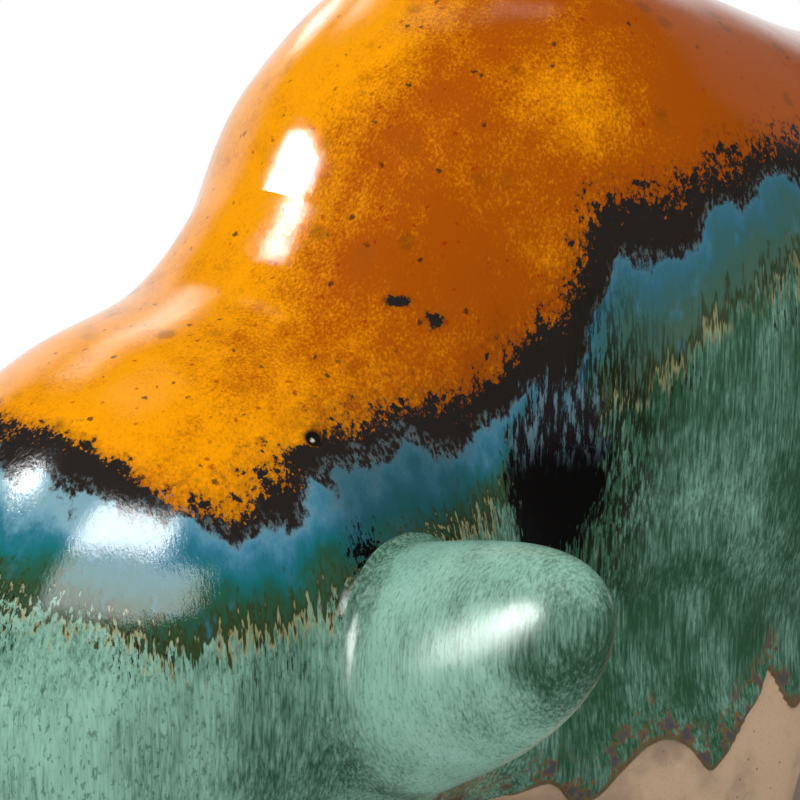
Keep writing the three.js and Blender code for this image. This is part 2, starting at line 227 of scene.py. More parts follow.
def body_distance(q):
    """Rough distance of points from the body: in the section's plane, how far beyond the
    superellipse the point lies on its ray from the middle, eased for the slope of the skin."""
    top_x, top_z, foot_x, foot_z, half = section_at(station_of(q)).T
    lean_x, lean_z = (top_x - foot_x) / 2, (top_z - foot_z) / 2
    long = np.hypot(lean_x, lean_z)
    u = (q[:, 0] - foot_x - lean_x) * lean_x + (q[:, 2] - foot_z - lean_z) * lean_z
    return SLOPE_EASE * beyond(u / long, q[:, 1], long, half, BODY_SQUARENESS)


def horn_axis(side):
    """Root point on the cheek and the direction of a horn; side is -1 for the left and 1 for the right."""
    top_x, top_z, foot_x, foot_z, half = section_at(HORN_STATION)
    root = np.array([(top_x + foot_x) / 2, side * half, (top_z + foot_z) / 2])
    root = root + np.array([(top_x - foot_x) / 2, 0, (top_z - foot_z) / 2]) * HORN_LEVEL
    aim = np.array([
        -math.sin(HORN_FORWARD) * math.cos(HORN_RISE),
        side * math.cos(HORN_FORWARD) * math.cos(HORN_RISE),
        math.sin(HORN_RISE),
    ])
    return root, aim


HORN_REACH = HORN_SPAN / 2 - section_at(HORN_STATION)[4]
HORN_WHOLE = HORN_ROOT_DEPTH + HORN_REACH / (math.cos(HORN_FORWARD) * math.cos(HORN_RISE))


def horn_centre(s, side):
    """Line of the horn: straight along its aim, lifted by the square of the way gone."""
    root, aim = horn_axis(side)
    s = np.asarray(s, float)[..., None]
    return root + aim * (s - HORN_ROOT_DEPTH) + np.array([0, 0, HORN_UPTURN]) * (s / HORN_WHOLE) ** 2


def horn_halves(s):
    """Half width and half height along the horn: the root's, with a flare that dies away, times one
    less the square of the way gone, to the power of one over the bluntness."""
    narrowing = np.maximum(1 - (s / HORN_WHOLE) ** 2, 0) ** (1 / HORN_BLUNTNESS)
    flare = HORN_ROOT_FLARE * np.exp(-np.maximum(s - HORN_ROOT_DEPTH, 0) / HORN_FLARE_RUN)
    return [(root + flare) * narrowing for root in HORN_ROOT_HALVES]


def horn_frames(s, side):
    """Centre, side axis and up axis of the horn's ovals: square to its line, the side axis near x."""
    centre = horn_centre(s, side)
    tangent = unit(horn_centre(s + 0.05, side) - horn_centre(s - 0.05, side))
    up = unit(np.cross(tangent, [1.0, 0, 0]))
    return centre, np.cross(up, tangent), up


def horn_distance(q, side):
    """Rough distance from a horn: how far outside its oval, at the nearest place of its line; near
    the tip the way left along the line counts too."""
    root, aim = horn_axis(side)
    farthest = 0.8 * HORN_WHOLE
    s = np.clip((q - root) @ aim + HORN_ROOT_DEPTH, 0, farthest)
    for _ in range(3):
        step = horn_centre(s + 0.5, side) - horn_centre(s - 0.5, side)
        s = s + np.sum((q - horn_centre(s, side)) * step, -1) / np.sum(step**2, -1)
        s = np.clip(s, 0, farthest)
    centre, across, up = horn_frames(s, side)
    off = q - centre
    wide, high = horn_halves(s)
    u, v = np.sum(off * across, -1), np.sum(off * up, -1)
    length = np.linalg.norm(off, axis=-1)
    along = np.sqrt(np.maximum(length**2 - u**2 - v**2, 0)) / (HORN_WHOLE - farthest)
    reach = np.sqrt((u / wide) ** 2 + (v / high) ** 2 + along**2)
    return length * (1 - 1 / np.maximum(reach, 1e-3))


def leg_sizes(z, leg):
    """Half length, half width and lean of a leg at each height, by smooth curves through its levels."""
    _x, _y, length, width, belly = leg
    heights = np.array([0, 0.45, 0.65, 0.82, 1]) * belly
    heights = np.append(heights, [belly + LEG_TOP_INSIDE / 2, belly + LEG_TOP_INSIDE])
    arch = smooth_curve(z, heights, (0, 0, 0.12, 0.38, 0.85, 1, 0.8))
    lean = smooth_curve(z, heights, (0, 0, 0, 0, 0.1, 0.5, 1))
    waist = smooth_curve(z, heights, (0, 0, 0, 0, 0, 0.5, 1))
    rise = np.clip(z / SOLE_ROUNDING, 0, 1)
    trim = SOLE_ROUNDING * (1 - np.sqrt(1 - (1 - rise) ** 2))
    half_long = length / 2 - trim + LEG_ARCH * arch
    half_wide = width / 2 - trim + LEG_SWELL * arch - LEG_TOP_WAIST * waist
    return half_long, half_wide, LEG_TOP_LEAN * lean


def smooth_curve(x, knots, values):
    """Hermite curve through the knots with slopes taken from their neighbours."""
    knots, values = np.asarray(knots, float), np.asarray(values, float)
    slopes = np.gradient(values, knots)
    x = np.clip(x, knots[0], knots[-1])
    k = np.clip(np.searchsorted(knots, x, "right") - 1, 0, len(knots) - 2)
    width = knots[k + 1] - knots[k]
    f = (x - knots[k]) / width
    rise = (2 * f**3 - 3 * f**2 + 1) * values[k] + (3 * f**2 - 2 * f**3) * values[k + 1]
    return rise + width * ((f**3 - 2 * f**2 + f) * slopes[k] + (f**3 - f**2) * slopes[k + 1])


def leg_distance(q, side, leg):
    """Rough distance from a leg: how far outside its superellipse at that height."""
    x, y, _length, _width, belly = leg
    half_long, half_wide, lean = leg_sizes(q[:, 2], leg)
    u = q[:, 0] - x - FIGURE_SHIFT
    v = q[:, 1] - side * (y - lean)
    aside = beyond(u, v, half_long, half_wide, LEG_SQUARENESS)
    return np.maximum(aside, q[:, 2] - belly - LEG_TOP_INSIDE)


def tail_line(count=80):
    """Middle line of the tail: the outline of the rump moved out a little, then a free end that
    hangs; a smooth curve through these points, spaced evenly."""
    end = LAST_STATION - POLE_MARGIN
    turn = 2 * end - NECK_STATION
    station = NECK_STATION + np.linspace(TAIL_START, TAIL_END, 8) * (turn - NECK_STATION)
    past = station > end
    station = np.where(past, 2 * end - station, station)
    angle = np.where(past, -math.pi / 2, math.pi / 2)
    proud = TAIL_RADII[0] * TAIL_PROUD
    route = body_points(station, angle) + proud * body_ways(station, angle)
    hang = np.array([-TAIL_FREE_TUCK, 0, -TAIL_FREE_LENGTH])
    route = np.vstack([route, route[-1] + hang / 2, route[-1] + hang])
    way = np.append(0, np.cumsum(np.linalg.norm(np.diff(route, axis=0), axis=1)))
    s = np.linspace(0, way[-1], count)
    return np.stack([smooth_curve(s, way, route[:, k]) for k in range(3)], -1)


def tail_radius(k):
    """Radius along the tail, by share of its length: a rounded root, a thinning shank, a tuft."""
    shank = TAIL_RADII[0] + (TAIL_RADII[1] - TAIL_RADII[0]) * np.clip(k / 0.5, 0, 1)
    tuft = smoothstep(k, 0.6, 0.84) * (TAIL_RADII[2] - TAIL_RADII[1])
    root = np.sqrt(1 - np.clip((0.12 - k) / 0.12, 0, 1) ** 2 * 0.999)
    tip = np.sqrt(1 - np.clip((k - 0.84) / 0.16, 0, 1) ** 2 * 0.999)
    return (shank + tuft) * root * tip


def tail_distance(q):
    line = tail_line()
    radius = tail_radius(np.linspace(0, 1, len(line)))
    return np.min(np.linalg.norm(q[:, None] - line[None], axis=2) - radius[None], axis=1)


def settle(points, ways, others):
    """Moves each point along its way to the skin that joins its own form and the others. The skin
    is the smooth minimum of their distances, lowered by the square of the overlap; where another
    form is nearer the piece dives below it, so that pieces cross in the middle of their fillet."""
    low, high = float(DEEPEST), FILLET_RISE * max(soft for _distance, soft in others)
    shape = points.shape
    points, ways = points.reshape(-1, 3), ways.reshape(-1, 3)
    moved = np.zeros(len(points))
    nearest = np.min([distance(points) - 2 * soft for distance, soft in others], axis=0)
    near = np.flatnonzero(nearest < high)
    p, w = points[near], ways[near]
    bottom, top = np.full(len(p), low), np.full(len(p), high)
    for _ in range(HALVINGS):
        own = (bottom + top) / 2
        skin, dive = own.copy(), np.zeros(len(p))
        for distance, soft in others:
            other = distance(p + w * own[:, None])
            overlap = np.maximum(soft - np.abs(skin - other), 0)
            dive = np.maximum(dive, DIVE * np.maximum(own - other, 0) ** 2)
            skin = np.minimum(skin, other) - overlap**2 / (4 * soft)
        inside = skin + dive < 0
        bottom = np.where(inside, own, bottom)
        top = np.where(inside, top, own)
    moved[near] = (bottom + top) / 2
    return (points + ways * moved[:, None]).reshape(shape)


def closed_mesh(name, p, start, end, attributes):
    """Mesh of a grid in millimetres, closed round, with a fan from the first ring to the point
    start and from the last to the point end. Faces are turned so that the volume is positive."""
    rows, cols = p.shape[:2]
    points = np.vstack([p.reshape(-1, 3), start, end]) * MM
    i, j = np.meshgrid(np.arange(rows - 1), np.arange(cols), indexing="ij")
    k = (j + 1) % cols
    here, below = i * cols, (i + 1) * cols
    quads = np.stack([here + j, here + k, below + k, below + j], -1).reshape(-1, 4)
    ring = np.arange(cols)
    after = (ring + 1) % cols
    first = np.stack([after, ring, np.full(cols, rows * cols)], -1)
    last = np.stack([ring, after, np.full(cols, rows * cols + 1)], -1)
    last[:, :2] += (rows - 1) * cols
    corners = np.vstack([quads[:, [0, 1, 2]], quads[:, [0, 2, 3]], first, last])
    a, b, c = (points[corners[:, m]] for m in range(3))
    if np.sum(np.cross(a, b) * c) < 0:
        quads, first, last = quads[:, ::-1], first[:, ::-1], last[:, ::-1]
    mesh = bpy.data.meshes.new(name)
    mesh.from_pydata(points.tolist(), [], quads.tolist() + first.tolist() + last.tolist())
    mesh.polygons.foreach_set("use_smooth", np.ones(len(mesh.polygons), bool))
    for key, values in attributes.items():
        layer = mesh.attributes.new(key, "FLOAT", "POINT")
        flat = np.concatenate([values.ravel(), [values[0].mean(), values[-1].mean()]])
        layer.data.foreach_set("value", flat.astype(np.float32))
    mesh.validate()
    return mesh


def put(name, mesh, slot, material, *nodes):
    """Makes the piece's object, rides it on the one rigid body and hides the CAD nodes it stands for."""
    piece = bpy.data.objects.new(name, mesh)
    bpy.context.scene.collection.objects.link(piece)
    mesh.materials.append(material)
    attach(piece, "root")
    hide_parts(*nodes)
    return piece


def even_stations(first, last, count):
    """Stations between two ends, spaced evenly by the mean way along the body."""
    t = np.linspace(first, last, 800)
    rings = body_points(t[:, None], turns(24)[None])
    steps = np.linalg.norm(np.diff(rings, axis=0), axis=2).mean(axis=1)
    way = np.append(0, np.cumsum(steps))
    return np.interp(np.linspace(0, way[-1], count), way, t)


# Heights of the borders of the poured glaze along the body, as x and z in millimetres: where the
# orange ends, where the turquoise begins below the black, and where the turquoise ends. In the part
# that the picture shows, the points were marked on it and carried onto the form by a trial
# program's rays, then rounded; so were those of the lower edge below
ORANGE_BORDER = (
    (-112, 107), (-104, 107), (-101, 102), (-95, 100), (-90, 101), (-84, 104), (-78, 106), (-65, 108),
    (-50, 109), (-45, 111), (-39, 116), (-33, 122), (-28, 132), (-16, 134), (-3, 139), (15, 139),
    (30, 136), (46, 131), (75, 119), (100, 106), (124, 103),
)
BLUE_BORDER = (
    (-112, 102), (-108, 102), (-102, 99), (-95, 97), (-88, 98), (-79, 101), (-65, 103), (-55, 101),
    (-45, 103), (-38, 108), (-33, 110), (-30, 116), (-26, 125), (-19, 125), (-10, 130), (5, 134),
    (13, 132), (30, 129), (46, 122), (75, 112), (100, 99), (124, 95),
)
GREEN_BORDER = (
    (-119, 92), (-112, 89), (-108, 86), (-97, 87), (-86, 88), (-78, 90), (-65, 93), (-55, 94),
    (-43, 96), (-33, 101), (-26, 109), (-16, 113), (-12, 117), (0, 122), (10, 125), (30, 114),
    (46, 110), (60, 101), (75, 97), (100, 84), (124, 82),
)
# Where the glaze stops above the bare clay, as x and z: tongues that ran down and the bays between them
DRIP_BORDER = (
    (-134, 40), (-120, 36), (-108, 41), (-96, 38), (-84, 42), (-72, 37), (-60, 41), (-48, 43),
    (-40, 39), (-34, 44), (-30, 40), (-24, 45), (-19, 48), (-14, 48), (-11, 46), (-8, 42), (-4, 43),
    (-1, 45), (3, 48), (8, 52), (9, 54), (11, 52), (14, 47), (17, 46), (23, 51), (28, 52), (32, 46),
    (36, 45), (41, 52), (49, 55), (54, 49), (59, 51), (65, 52), (69, 45), (73, 43), (77, 49), (84, 52),
    (90, 45), (95, 47), (102, 53), (108, 48), (124, 52),
)
GLAZE_THICKNESS = 0.8
BEAD_WIDTH = 2.2
BEAD_HEIGHT = 0.2

# Dark marks in the orange, as x, z, their two half sizes and how far they push the black up
SMUDGES = (
    (-55, 122.3, 3, 1.5, 18), (-51, 119.5, 2, 1.8, 13), (-80.5, 105, 2.4, 1.3, 6),
    (-43, 128, 1.2, 7, 11),
)
# Folds darkened near black, partly pooled glaze and partly painted shade, as x, z and their half sizes:
# behind each horn and above its root
POOLS_AND_SHADE = ((-35.5, 94, 9, 15), (-76.5, 91.5, 1.8, 2.6))
# Painted shade on the green of the left horn, darkest below its tip: x, y, z and radius
HORN_SHADE_SPOT = (-80, -85, 86, 13)
# Distances from the middle plane between which the horn's own painted shade takes over from the head's
HORN_SHADE_RUN = (42, 50)
# The pinhole that a bubble left in the glaze of the crown, with a painted glint at its middle: x, y, z and
# radius
PINHOLE = (-77.8, -31.2, 107, 1.5)
PINHOLE_DEPTH = 0.6

# Values at each point of a glazed piece that the glaze's colours follow, and the settings they use
MASKS = ("orange_fall", "blue_fall", "green_fall", "pool", "burn", "above_edge", "pinhole")
GLAZE_COLORS = ("orange_bright", "orange_deep", "band_black", "turquoise", "green_pale", "green_deep")
# The values of a piece that is green all over, in millimetres: no border, fold of pooled glaze and painted
# shade, or edge is near
NO_POOL_OR_SHADE = -30.0
NO_EDGE = 20.0
ALL_GREEN = {
    "orange_fall": 60.0, "blue_fall": 50.0, "green_fall": 40.0, "pool": NO_POOL_OR_SHADE, "above_edge": NO_EDGE,
}
# The band below the black from its top to its foot, as shares of its height and screen colours
BAND_ON_HEAD = (
    (0, 112, 152, 166), (0.16, 76, 138, 164), (0.36, 44, 116, 138), (0.58, 24, 110, 116),
    (0.8, 34, 94, 78), (1, 46, 84, 58),
)
BAND_ON_FLANK = (
    (0, 78, 124, 140), (0.12, 58, 112, 132), (0.35, 58, 104, 108), (0.65, 66, 102, 90), (1, 76, 104, 88),
)
ORANGE_ROUGHNESS = 0.07
GREEN_ROUGHNESS = 0.17
CRYSTAL_ROUGHNESS = 0.4
CLAY_ROUGHNESS = 0.75
SPECULAR_LEVEL = 0.38


def along_border(border, x):
    knots = np.array(border, float)
    return smooth_curve(x, knots[:, 0], knots[:, 1])


def glaze_falls(p):
    """How far below each border a point lies, in millimetres, how deep it lies in a fold of pooled glaze
    and painted shade, and how much shade is painted there, from 0 to 1, darker where the light falls off:
    in the orange more behind the crown and down the flanks, less on a patch of the hump, in the green more
    towards the rear. On the far side the borders wander by sines of x that fade in across the back."""
    x, y, z = p[..., 0], p[..., 1], p[..., 2]
    far = smoothstep(y, -2, 16)
    wander = far * (3.2 * np.sin(x / 9.5 + 1.3) + 2 * np.sin(x / 4.1 + 0.4))
    falls = [along_border(border, x) + wander - z for border in (ORANGE_BORDER, BLUE_BORDER, GREEN_BORDER)]
    for at_x, at_z, long, high, push in SMUDGES:
        falls[0] = falls[0] + (1 - far) * push * bell(x, at_x, long) * bell(z, at_z, high)
    pool = np.full(x.shape, NO_POOL_OR_SHADE)
    for at_x, at_z, long, high in POOLS_AND_SHADE:
        reach = np.hypot((x - at_x) / long, (z - at_z) / high)
        pool = np.maximum(pool, (1 - reach) * long)
    # Painted shade, darker where the light falls off: in the orange on the sides behind the crown and
    # towards the rear, with painted light on a patch of the hump; in the green from the front of the head
    # towards the rear
    aside = smoothstep(-y, -4, 22) + smoothstep(y, 18, 36)
    orange = 0.65 * smoothstep(x, -95, -48) * aside + 0.2 * smoothstep(x, -15, 5)
    orange = orange - 0.5 * bell(x, -24, 10) * bell(z, 148, 8)
    green = 0.33 * smoothstep(x, -116, -92) + 0.2 * smoothstep(x, -62, -22)
    burn = orange + (green - orange) * smoothstep(falls[0], -2, 6)
    return dict(zip(MASKS, (*falls, pool, burn)))


def above_drips(p):
    """Height above the lower edge of the glaze. The far side has the same tongues moved along."""
    x, y, z = p[..., 0], p[..., 1], p[..., 2]
    far = smoothstep(y, -10, 10)
    near_edge = along_border(DRIP_BORDER, x)
    far_edge = along_border(DRIP_BORDER, 0.93 * x - 5) + 1.5 * np.sin(x / 5.3)
    return z - near_edge * (1 - far) - far_edge * far


def glaze_and_clay(p, ways, bare=True):
    """Sinks the bare clay below the glaze, whose edge is a rounded bead, presses the pinhole in, and
    gives the moved points with the values that the glaze is coloured by."""
    above = above_drips(p) if bare else np.full(p.shape[:-1], NO_EDGE)
    rise = np.clip(above / BEAD_WIDTH, 0, 1)
    skin = np.sqrt(1 - (1 - rise) ** 2)
    bead = BEAD_HEIGHT * bell(above, BEAD_WIDTH, BEAD_WIDTH) * (above > 0)
    depth = GLAZE_THICKNESS * (1 - skin) - bead * skin
    off = np.linalg.norm(p - np.array(PINHOLE[:3]), axis=-1) / PINHOLE[3]
    hole = PINHOLE_DEPTH * (bell(off, 0, 0.75) - 0.35 * bell(off, 1.25, 0.3))
    values = glaze_falls(p)
    values["above_edge"] = above
    values["pinhole"] = bell(off, 0, 1)
    return p - ways * (depth + hole)[..., None], values


def paint(red, green, blue):
    """Linear colour of three screen values from 0 to 255."""
    c = np.array((red, green, blue)) / 255
    return tuple(float(v) for v in np.where(c <= 0.04045, c / 12.92, ((c + 0.055) / 1.055) ** 2.4))


class NodeSheet:
    """Places nodes in one shader tree and joins them; a socket or a plain value may feed any input."""

    def __init__(self, tree):
        self.tree = tree
        self.place = None

    def feed(self, socket, value):
        if isinstance(value, bpy.types.NodeSocket):
            self.tree.links.new(value, socket)
        elif socket.type == "RGBA":
            socket.default_value = (*tuple(value)[:3], 1)
        else:
            socket.default_value = value

    def add(self, kind, inputs, output=0, **settings):
        node = self.tree.nodes.new(kind)
        for key, value in settings.items():
            setattr(node, key, value)
        for key, value in inputs.items():
            self.feed(node.inputs[key], value)
        return node.outputs[output]

    def group(self, tree, inputs):
        """Places a node group and gives its outputs."""
        return self.add("ShaderNodeGroup", inputs, node_tree=tree).node.outputs

    def math(self, operation, *values):
        return self.add("ShaderNodeMath", dict(enumerate(values)), operation=operation)

    def sum(self, first, *others):
        for other in others:
            first = self.math("ADD", first, other)
        return first

    def times(self, first, *others):
        for other in others:
            first = self.math("MULTIPLY", first, other)
        return first

    def along(self, way, direction):
        """How far a way reaches along a direction: their dot product."""
        inputs = {0: way, 1: tuple(direction)}
        return self.add("ShaderNodeVectorMath", inputs, 1, operation="DOT_PRODUCT")

    def spread(self, noise, amount):
        """A noise about its middle value, times an amount."""
        return self.math("MULTIPLY_ADD", noise, amount, -0.5 * amount)

    def band(self, value, low, high):
        """Smooth step from 0 at low to 1 at high."""
        inputs = {0: value, 1: low, 2: high, 3: 0.0, 4: 1.0}
        return self.add("ShaderNodeMapRange", inputs, interpolation_type="SMOOTHSTEP")

    def window(self, value, low, inner_low, inner_high, high):
        """Smooth rise from low to inner low and smooth fall from inner high to high."""
        fall = self.math("SUBTRACT", 1.0, self.band(value, inner_high, high))
        return self.times(self.band(value, low, inner_low), fall)

    def scaled(self, place, scale, seed):
        inputs = {"Vector": place, "Location": (seed, seed, seed), "Scale": scale}
        return self.add("ShaderNodeMapping", inputs)

    def noise(self, size, stretch=1, detail=2, roughness=0.5, seed=0):
        """Noise with features of a size in millimetres, drawn out along z by a stretch."""
        moved = self.scaled(self.place, (1 / size, 1 / size, 1 / size / stretch), seed)
        inputs = {"Vector": moved, "Scale": 1, "Detail": detail, "Roughness": roughness}
        return self.add("ShaderNodeTexNoise", inputs)

    def specks(self, place, cell, share, radius, seed=0):
        """Dots in a share of the cells of a size, each with a radius given as a share of its cell."""
        cells = {"Vector": self.scaled(place, (1 / cell, 1 / cell, 1 / cell), seed), "Scale": 1}
        distance = self.add("ShaderNodeTexVoronoi", cells)
        chance = self.add("ShaderNodeSeparateColor", {0: self.add("ShaderNodeTexVoronoi", cells, 1)})
        dot = self.band(distance, radius, 0.5 * radius)
        return self.times(dot, self.band(chance, 1 - share, 1 - 0.8 * share))

    def lerp(self, factor, a, b):
        return self.add("ShaderNodeMix", {0: factor, 2: a, 3: b})

    def mix(self, factor, a, b):
        return self.add("ShaderNodeMix", {0: factor, 6: a, 7: b}, 2, data_type="RGBA")

    def lay(self, color, tone, mask, share=1):
        """Lays a tone of three screen values over a colour, by a share of a mask."""
        return self.mix(self.times(mask, share) if share < 1 else mask, color, paint(*tone))

    def ramp(self, value, stops):
        """Colours at shares from 0 to 1, each stop with its screen values, with straight blends."""
        color = self.add("ShaderNodeValToRGB", {0: value})
        elements = color.node.color_ramp.elements
        while len(elements) < len(stops):
            elements.new(1)
        for element, (at, *tone) in zip(elements, stops):
            element.position = at
            element.color = (*paint(*tone), 1)
        return color


def node_group(name, inputs, outputs):
    """Empty shader group with named sockets, and its sheet, its inputs by name and its output node."""
    tree = bpy.data.node_groups.new(name, "ShaderNodeTree")
    for in_out, sockets in (("INPUT", inputs), ("OUTPUT", outputs)):
        for key, kind in sockets.items():
            tree.interface.new_socket(key, in_out=in_out, socket_type="NodeSocket" + kind)
    entry = tree.nodes.new("NodeGroupInput")
    return tree, NodeSheet(tree), entry.outputs, tree.nodes.new("NodeGroupOutput").inputs


def orange_glaze_group():
    """The burnt orange: broad and middle mottling, a fine grain, red and black specks, and painted shade
    that turns it towards the deep orange.
    """
    inputs = {"Place": "Vector", "Bright": "Color", "Deep": "Color", "Shade": "Float"}
    tree, sheet, given, out = node_group("orange glaze", inputs, {"Color": "Color"})
    sheet.place = given["Place"]
    broad = sheet.spread(sheet.noise(19, 1, 2, 0.5, 3.7), 0.7)
    middle = sheet.spread(sheet.noise(4, 1.2, 3, 0.6), 0.6)
    fine = sheet.spread(sheet.noise(0.45, 1.5, 3, 0.7), 1.2)
    light = sheet.math("SUBTRACT", sheet.sum(broad, middle, fine, 0.68), given["Shade"])
    color = sheet.mix(sheet.band(light, 0, 0.75), given["Deep"], given["Bright"])
    color = sheet.lay(color, (255, 178, 4), sheet.band(light, 0.75, 1.3))
    brown = sheet.band(sheet.noise(8, 1, 2, 0.5, 9.1), 0.6, 0.8)
    color = sheet.lay(color, (140, 78, 12), brown, 0.5)
    wobble = sheet.add("ShaderNodeTexNoise", {"Vector": sheet.place, "Scale": 1.5, "Detail": 3}, 1)
    inputs = {0: wobble, 1: (1.3, 1.3, 1.3), 2: sheet.place}
    bent = sheet.add("ShaderNodeVectorMath", inputs, operation="MULTIPLY_ADD")
    color = sheet.lay(color, (110, 62, 10), sheet.specks(bent, 9, 0.6, 0.22, 4), 0.45)
    color = sheet.lay(color, (160, 34, 4), sheet.specks(bent, 2.2, 0.5, 0.2, 2), 0.7)
    color = sheet.lay(color, (48, 34, 22), sheet.specks(bent, 4, 0.6, 0.14, 7), 0.8)
    sheet.feed(out["Color"], color)
    return tree


def green_glaze_group():
    """The celadon green: fine streaks down the pour, speckles, and a deeper tone where it ran thick and
    where shade is painted.
    """
    inputs = {"Place": "Vector", "Pale": "Color", "Deep": "Color", "Shade": "Float", "Speckle": "Float"}
    tree, sheet, given, out = node_group("green glaze", inputs, {"Color": "Color", "Streak": "Float"})
    sheet.place = given["Place"]
    streak = sheet.noise(0.5, 12, 3, 0.7, 5.2)
    broad = sheet.noise(8, 1.8, 3, 0.5, 1.4)
    tone = sheet.sum(sheet.spread(streak, 1.5), sheet.spread(broad, 1.2), given["Shade"], 0.3)
    color = sheet.mix(sheet.band(tone, 0, 1.1), given["Pale"], given["Deep"])
    color = sheet.lay(color, (168, 208, 196), sheet.band(tone, 0.15, -0.5))
    dots = sheet.band(sheet.noise(0.6, 2, 2, 0.5, 8.3), 0.57, 0.67)
    color = sheet.lay(color, (62, 100, 82), sheet.times(dots, given["Speckle"]))
    sheet.feed(out["Color"], color)
    sheet.feed(out["Streak"], streak)
    return tree


def poured_glaze_group(orange, green):
    """The pour from the top down: orange, stippled into black, turquoise in lobes, a comb of ochre and
    olive, and green; near black in the folds, partly pooled glaze and partly painted shade, with blue-grey
    strokes of painted reflection; a painted glint in the pinhole; and flecks and an ochre rim at the lower
    edge."""
    inputs = {"place": "Vector", "speckle": "Float"}
    inputs |= dict.fromkeys(MASKS, "Float") | dict.fromkeys(GLAZE_COLORS, "Color")
    outputs = {"Color": "Color", "Roughness": "Float", "Height": "Float"}
    tree, sheet, given, out = node_group("poured glaze", inputs, outputs)
    place = sheet.place = given["place"]
    pool, green_fall = given["pool"], given["green_fall"]
    along, _across, height = sheet.add("ShaderNodeSeparateXYZ", {0: place}).node.outputs
    behind = sheet.band(along, -62, -22)

    # The orange is darkened by the painted shade
    inputs = {
        "Place": place, "Bright": given["orange_bright"], "Deep": given["orange_deep"],
        "Shade": given["burn"],
    }
    color = sheet.group(orange, inputs)["Color"]
    stipple = sheet.noise(0.8, 1.6, 4, 0.75, 2.6)
    stippled = sheet.times(sheet.sum(stipple, -0.5), sheet.lerp(behind, 13, 26))
    lobe = sheet.noise(8, 1, 2, 0.5, 6.5)
    clots = sheet.band(sheet.noise(2.4, 1.2, 3, 0.6, 6), 0.52, 0.66)
    clots = sheet.times(clots, sheet.lerp(behind, 3, 4))
    fall = sheet.sum(given["orange_fall"], stippled, sheet.spread(lobe, 8), clots)
    color = sheet.lay(color, (120, 62, 16), sheet.band(fall, -5, 0), 0.45)
    color = sheet.mix(sheet.band(fall, -0.6, 0.9), color, given["band_black"])

    cloud = sheet.spread(sheet.noise(6, 1.3, 2, 0.5, 12.2), 12)
    wisp = sheet.noise(0.7, 3, 3, 0.7, 4.4)
    fall = sheet.sum(given["blue_fall"], cloud, sheet.spread(wisp, 4))
    smoke = sheet.times(sheet.window(fall, -2.6, -0.8, 0.2, 1.4), sheet.band(wisp, 0.46, 0.6))
    color = sheet.lay(color, (120, 136, 142), smoke, 0.4)
    thick = sheet.math("SUBTRACT", given["blue_fall"], green_fall)
    share = sheet.math("DIVIDE", fall, thick)
    blue = sheet.mix(behind, sheet.ramp(share, BAND_ON_HEAD), sheet.ramp(share, BAND_ON_FLANK))
    tint = sheet.spread(sheet.noise(3, 2, 3, 0.6, 15), 1.2)
    blue = sheet.mix(sheet.times(sheet.band(tint, 0.05, 0.35), 0.55), blue, given["turquoise"])
    blue = sheet.lay(blue, (36, 66, 68), sheet.window(along, -84, -76, -58, -46), 0.6)
    haze = sheet.times(sheet.band(along, -98, -112), sheet.band(share, 0.45, 0.1))
    blue = sheet.lay(blue, (150, 188, 194), haze, 0.5)
    color = sheet.mix(sheet.band(fall, -0.5, 0.9), color, blue)

    # The green is deepened by the painted shade
    inputs = {
        "Place": place, "Pale": given["green_pale"], "Deep": given["green_deep"],
        "Shade": given["burn"], "Speckle": given["speckle"],
    }
    leaf = sheet.group(green, inputs)
    comb = sheet.noise(0.8, 9, 2, 0.55, 7.7)
    fall = sheet.sum(green_fall, sheet.spread(comb, 20), -3.5)
    color = sheet.lay(color, (52, 62, 30), sheet.window(fall, -4.5, -2, -0.2, 1), 0.75)
    color = sheet.mix(sheet.band(fall, -0.4, 0.8), color, leaf["Color"])
    rim = sheet.times(sheet.window(fall, -1, -0.1, 0.5, 2.6), sheet.band(lobe, 0.34, 0.52))
    color = sheet.lay(color, (168, 158, 112), rim, 0.6)
    dashes = sheet.noise(0.5, 9, 3, 0.65, 3.1)
    beside = sheet.times(sheet.window(pool, -15, -3, 5, 9), sheet.band(along, -35, -30))
    patches = sheet.band(sheet.noise(10, 1, 1, 0.5, 11), 0.42, 0.54)
    dash = sheet.times(sheet.band(dashes, 0.55, 0.62), sheet.window(green_fall, -1, 3, 9, 15), patches)
    dash = sheet.math("MAXIMUM", dash, sheet.times(sheet.band(dashes, 0.46, 0.54), beside))
    color = sheet.lay(color, (28, 31, 14), dash, 0.92)

    # Near black in the folds: partly pooled glaze, partly painted shade, darkest low down
    ragged = sheet.sum(pool, sheet.spread(sheet.noise(0.7, 7, 3, 0.7, 1.9), 14))
    plum = sheet.mix(sheet.band(height, 95, 105), paint(8, 6, 5), paint(36, 32, 34))
    # Blue-grey strokes higher in the folds: a painted reflection
    painted_reflection = sheet.band(sheet.noise(0.8, 6, 4, 0.7, 5.5), 0.5, 0.62)
    painted_reflection = sheet.times(painted_reflection, sheet.window(height, 94, 103, 110, 116))
    plum = sheet.lay(plum, (104, 138, 150), painted_reflection, 0.85)
    color = sheet.mix(sheet.band(ragged, -0.8, 1), color, plum)

    above, hole = given["above_edge"], given["pinhole"]
    fleck = sheet.noise(2.6, 1, 4, 0.65, 8.8)
    near = sheet.window(above, -1, 0.5, 3.5, 9)
    color = sheet.lay(color, (126, 92, 52), sheet.times(near, sheet.band(fleck, 0.5, 0.58)))
    crystal = sheet.times(near, sheet.band(fleck, 0.55, 0.62))
    color = sheet.lay(color, (78, 82, 86), crystal)
    color = sheet.lay(color, (112, 88, 58), sheet.window(above, -0.2, 0.1, 0.7, 1.6), 0.8)
    color = sheet.lay(color, (26, 20, 16), sheet.band(hole, 0.2, 0.6))
